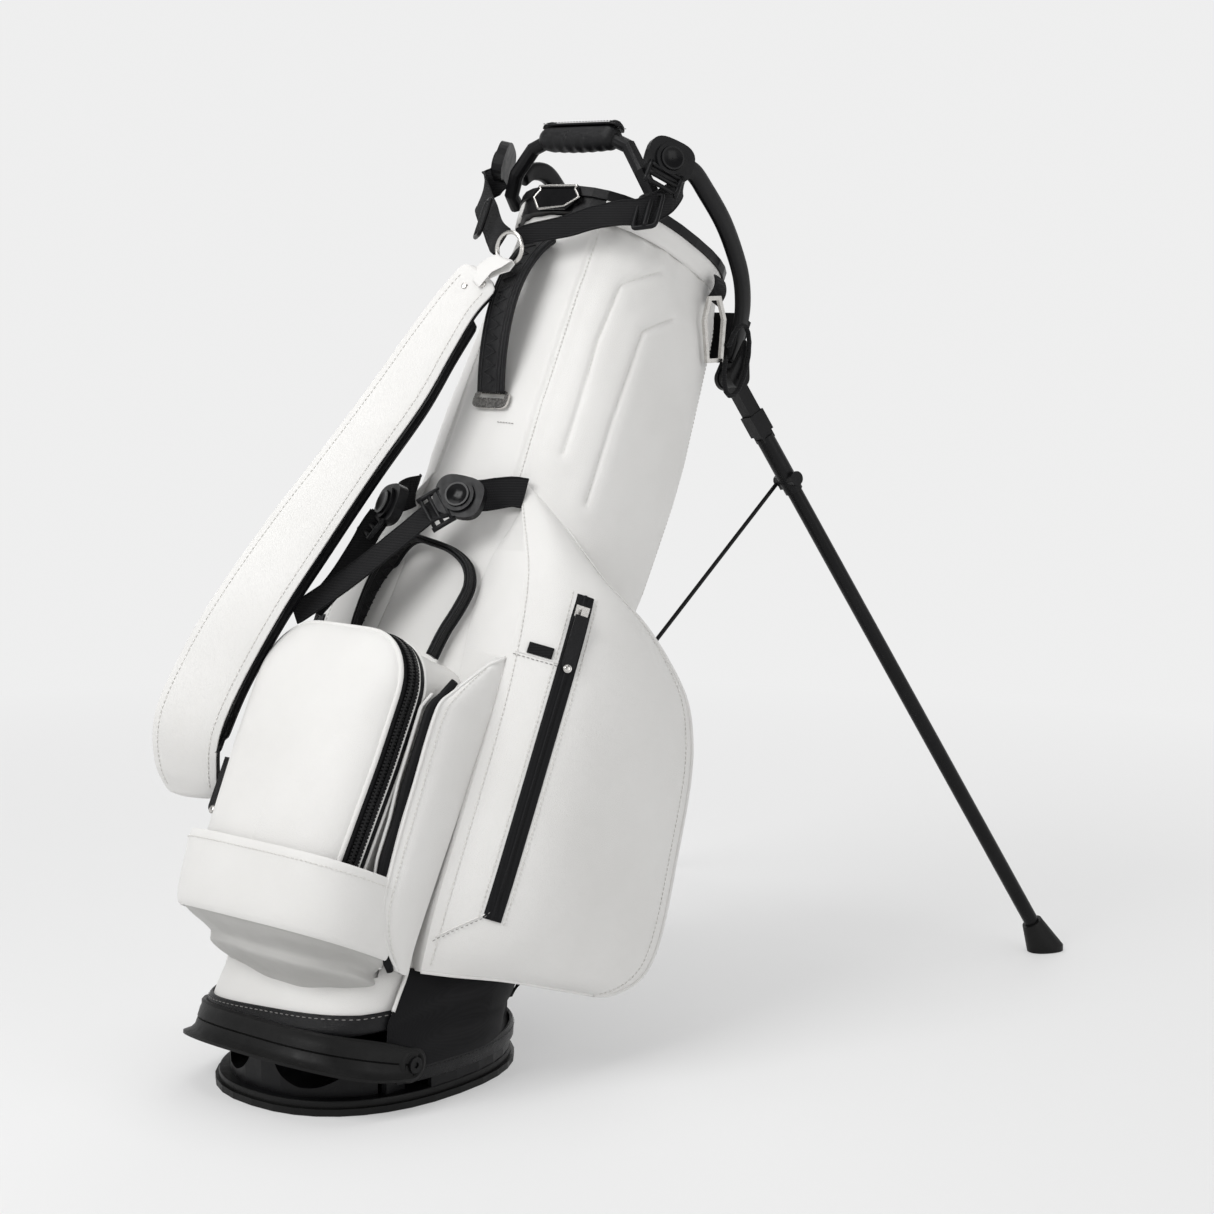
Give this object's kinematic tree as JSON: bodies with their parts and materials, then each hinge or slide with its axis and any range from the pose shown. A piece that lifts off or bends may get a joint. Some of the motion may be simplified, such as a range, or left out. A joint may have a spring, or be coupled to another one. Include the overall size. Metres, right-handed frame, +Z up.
{
  "type": "golf bag",
  "caption": "Golf bag standing open on two splayed fold-out legs, with tilting foot plate, collar arch, pockets, pads and buckles.",
  "frame": {"origin": "middle of the foot plate's underside, on the ground", "axes": "+Z up, +X the way the bag leans, towards its legs, -Y the near side, to the right seen from the pockets"},
  "size_m": [0.8823, 0.5712, 0.8326],
  "materials": {
    "black_plastic": "satin moulded",
    "rubber": "matte",
    "white_leather": "fine pebbled synthetic leather",
    "black_leather": "grained",
    "black_fabric": "tight woven nylon",
    "webbing": "ribbed webbing",
    "steel": "polished nickel",
    "black_metal": "satin powder coat",
    "zip_black": "moulded zip tape"
  },
  "bodies": {
    "bag": {"pivot_bolts": "steel", "base_frame": "black_plastic", "front_band": "black_plastic", "band_screws": "steel", "rear_gusset": "black_fabric", "trunk_shell": "white_leather", "trunk_binding": "black_fabric", "body_stays": "black_metal", "collar": "black_plastic", "collar_dividers": "black_fabric", "collar_badge": "steel", "collar_handle": "black_plastic", "handle_grip": "black_leather", "hinge_housing": "black_plastic", "hinge_pins": "steel", "hip_pad": "black_fabric", "rod_guides": "black_plastic", "trunk_handle": "black_leather", "handle_bracket": "steel", "lower_handle": "black_leather", "ball_pocket": "white_leather", "ball_cuff": "white_leather", "ball_zip": "zip_black", "side_pocket_near": "white_leather", "side_pocket_far": "white_leather", "front_panel": "white_leather", "side_zip_near": "zip_black", "side_zip_far": "zip_black", "strap_pad_outer": "white_leather", "strap_pad_inner": "white_leather", "upper_webbing": "webbing", "lower_webbing": "webbing", "tri_glides": "black_plastic", "buckle_housings": "black_plastic", "strap_ring": "steel", "towel_loop": "black_fabric", "accessory_loop": "black_fabric"},
    "foot": {"foot_sole": "rubber", "foot_plate": "black_plastic"},
    "leg_near": {"leg_bracket_near": "black_plastic", "leg_tube_near": "black_metal", "leg_shoe_near": "rubber"},
    "leg_far": {"leg_bracket_far": "black_plastic", "leg_tube_far": "black_metal", "leg_shoe_far": "rubber"},
    "push_rod_near": {"push_rod_near": "black_metal"},
    "push_rod_far": {"push_rod_far": "black_metal"},
    "yoke": {"drive_yoke": "black_metal"},
    "button_upper_near": {"button_upper_near": "black_plastic"},
    "button_upper_far": {"button_upper_far": "black_plastic"},
    "button_lower_near": {"button_lower_near": "black_plastic"},
    "button_lower_far": {"button_lower_far": "black_plastic"},
    "side_slider_near": {"side_slider_near": "steel"},
    "side_slider_far": {"side_slider_far": "steel"},
    "side_pull_near": {"side_pull_near": "black_leather"},
    "side_pull_far": {"side_pull_far": "black_leather"},
    "ball_slider": {"ball_slider": "steel"},
    "ball_pull": {"ball_pull": "black_leather"},
    "towel_clip": {"towel_clip": "steel"}
  },
  "joints": [
    {"name": "leg_near_fold", "type": "hinge", "parent": "bag", "child": "leg_near", "pos_m": [0.41522, -0.085, 0.59399], "axis": [0.2903, 0.9454, -0.1479], "range_deg": [0, 55.3]},
    {"name": "leg_far_fold", "type": "hinge", "parent": "bag", "child": "leg_far", "pos_m": [0.41522, 0.085, 0.59399], "axis": [-0.2903, 0.9454, 0.1479], "range_deg": [0, 55.3]},
    {"name": "push_rod_near_swing", "type": "hinge", "parent": "leg_near", "child": "push_rod_near", "pos_m": [0.4692, -0.10257, 0.493], "axis": [0.2903, 0.9454, -0.1479], "range_deg": [-77.53, 0]},
    {"name": "push_rod_far_swing", "type": "hinge", "parent": "leg_far", "child": "push_rod_far", "pos_m": [0.4692, 0.10257, 0.493], "axis": [-0.2903, 0.9454, 0.1479], "range_deg": [-77.53, 0]},
    {"name": "foot_plate_tilt", "type": "hinge", "parent": "bag", "child": "foot", "pos_m": [-0.05768, 0, 0.04033], "axis": [0, 1, 0], "range_deg": [0, 27.01], "deforming": ["rear_gusset"]},
    {"name": "yoke_slide", "type": "slide", "parent": "bag", "child": "yoke", "axis": [-0.454, 0, -0.891], "range_m": [0, 0.0682]},
    {"name": "button_upper_near_press", "type": "slide", "parent": "bag", "child": "button_upper_near", "axis": [0.5111, 0.8192, -0.2604], "range_m": [0, 0.0025], "stiffness_N_per_m": 400},
    {"name": "button_upper_far_press", "type": "slide", "parent": "bag", "child": "button_upper_far", "axis": [0.5111, -0.8192, -0.2604], "range_m": [0, 0.0025], "stiffness_N_per_m": 400},
    {"name": "button_lower_near_press", "type": "slide", "parent": "bag", "child": "button_lower_near", "axis": [0.8261, 0.3746, -0.4209], "range_m": [0, 0.0025], "stiffness_N_per_m": 400},
    {"name": "button_lower_far_press", "type": "slide", "parent": "bag", "child": "button_lower_far", "axis": [0.8261, -0.3746, -0.4209], "range_m": [0, 0.0025], "stiffness_N_per_m": 400},
    {"name": "side_slider_near_run", "type": "slide", "parent": "bag", "child": "side_slider_near", "axis": [-0.4274, 0, -0.9041], "range_m": [0, 0.23]},
    {"name": "side_slider_far_run", "type": "slide", "parent": "bag", "child": "side_slider_far", "axis": [-0.4274, 0, -0.9041], "range_m": [0, 0.23]},
    {"name": "side_pull_near_swing", "type": "hinge", "parent": "side_slider_near", "child": "side_pull_near", "pos_m": [0.11125, -0.15738, 0.40532], "axis": [-0.7078, 0.6221, 0.3346], "range_deg": [0, 110]},
    {"name": "side_pull_far_swing", "type": "hinge", "parent": "side_slider_far", "child": "side_pull_far", "pos_m": [0.11125, 0.15738, 0.40532], "axis": [0.7078, 0.6221, -0.3346], "range_deg": [0, 110]},
    {"name": "ball_slider_run", "type": "slide", "parent": "bag", "child": "ball_slider", "axis": [-0.454, 0, -0.891], "range_m": [-0.012, 0.018]},
    {"name": "ball_pull_swing", "type": "hinge", "parent": "ball_slider", "child": "ball_pull", "pos_m": [-0.07118, 0.091, 0.27729], "axis": [0, 1, 0], "range_deg": [0, 100]},
    {"name": "towel_clip_swing", "type": "hinge", "parent": "bag", "child": "towel_clip", "pos_m": [0.36727, -0.1, 0.67086], "axis": [-1, 0, 0], "range_deg": [0, 80]}
  ],
  "couplings": [
    {"joint": "leg_far_fold", "follows": "leg_near_fold", "ratio": 1},
    {"joint": "push_rod_near_swing", "follows": "leg_near_fold", "ratio": -1.4018},
    {"joint": "push_rod_far_swing", "follows": "leg_near_fold", "ratio": -1.4018},
    {"joint": "foot_plate_tilt", "follows": "leg_near_fold", "ratio": 0.48825},
    {"joint": "yoke_slide", "follows": "leg_near_fold", "m_per_rad": 0.070558}
  ]
}
